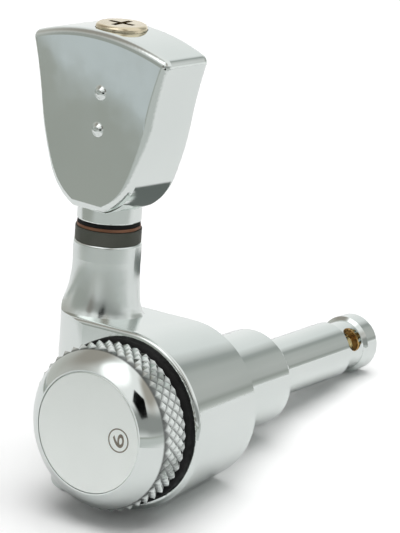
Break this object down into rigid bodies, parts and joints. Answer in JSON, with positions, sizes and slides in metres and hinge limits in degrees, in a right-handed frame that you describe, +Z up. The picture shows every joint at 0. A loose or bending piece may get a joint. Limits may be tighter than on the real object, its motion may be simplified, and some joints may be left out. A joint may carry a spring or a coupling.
{
  "type": "guitar tuning machine",
  "caption": "Enclosed worm-gear tuning machine: a button turns the string post, and a knurled thumbwheel at the back clamps the string with a pin.",
  "frame": {"origin": "on the string post's axis, in the plane of the housing's seat face", "axes": "+Y along the string post towards its tip, +Z up the button's shaft, +X to the right seen from behind the thumbwheel"},
  "size_m": [0.0254, 0.0477, 0.0466],
  "materials": {
    "polished_chrome": "mirror",
    "satin_chrome": "satin",
    "plain_steel": "machined",
    "gear_brass": "machined",
    "pale_brass": "polished",
    "bearing_bronze": "machined",
    "black_rubber": "matte",
    "grey_nylon": "matte"
  },
  "bodies": {
    "body": {"housing": "polished_chrome", "locating_pins": "plain_steel", "rear_cover": "plain_steel", "friction_ring": "black_rubber", "post_bushing": "bearing_bronze", "post_thrust_washer": "bearing_bronze", "shaft_sleeve": "grey_nylon", "worm_end_plug": "polished_chrome", "worm_lower_washer": "bearing_bronze", "worm_upper_washer": "bearing_bronze"},
    "button": {"worm_shaft": "plain_steel", "button": "polished_chrome", "button_screw": "pale_brass", "bronze_washer": "bearing_bronze", "black_washer": "black_rubber"},
    "post": {"string_post": "polished_chrome", "worm_wheel": "gear_brass", "wheel_nut": "plain_steel", "retaining_clip": "plain_steel"},
    "thumbwheel": {"thumbwheel": "polished_chrome", "face_plate": "satin_chrome", "lock_spindle": "plain_steel"},
    "lock_pin": {"lock_pin": "gear_brass"}
  },
  "joints": [
    {"name": "button_spin", "type": "hinge", "parent": "body", "child": "button", "pos_m": [-0.0072, -0.00554, 0], "axis": [0, 0, 1], "continuous": true},
    {"name": "post_spin", "type": "hinge", "parent": "body", "child": "post", "pos_m": [0, 0, 0], "axis": [0, 1, 0], "continuous": true},
    {"name": "thumbwheel_turn", "type": "hinge", "parent": "post", "child": "thumbwheel", "pos_m": [0, 0, 0], "axis": [0, 1, 0], "range_deg": [-91, 1081]},
    {"name": "lock_pin_slide", "type": "slide", "parent": "post", "child": "lock_pin", "axis": [0, 1, 0], "range_m": [-0.0002, 0.0024]}
  ],
  "couplings": [
    {"joint": "post_spin", "follows": "button_spin", "ratio": -0.083333},
    {"joint": "thumbwheel_turn", "follows": "lock_pin_slide", "rad_per_m": 7854}
  ]
}
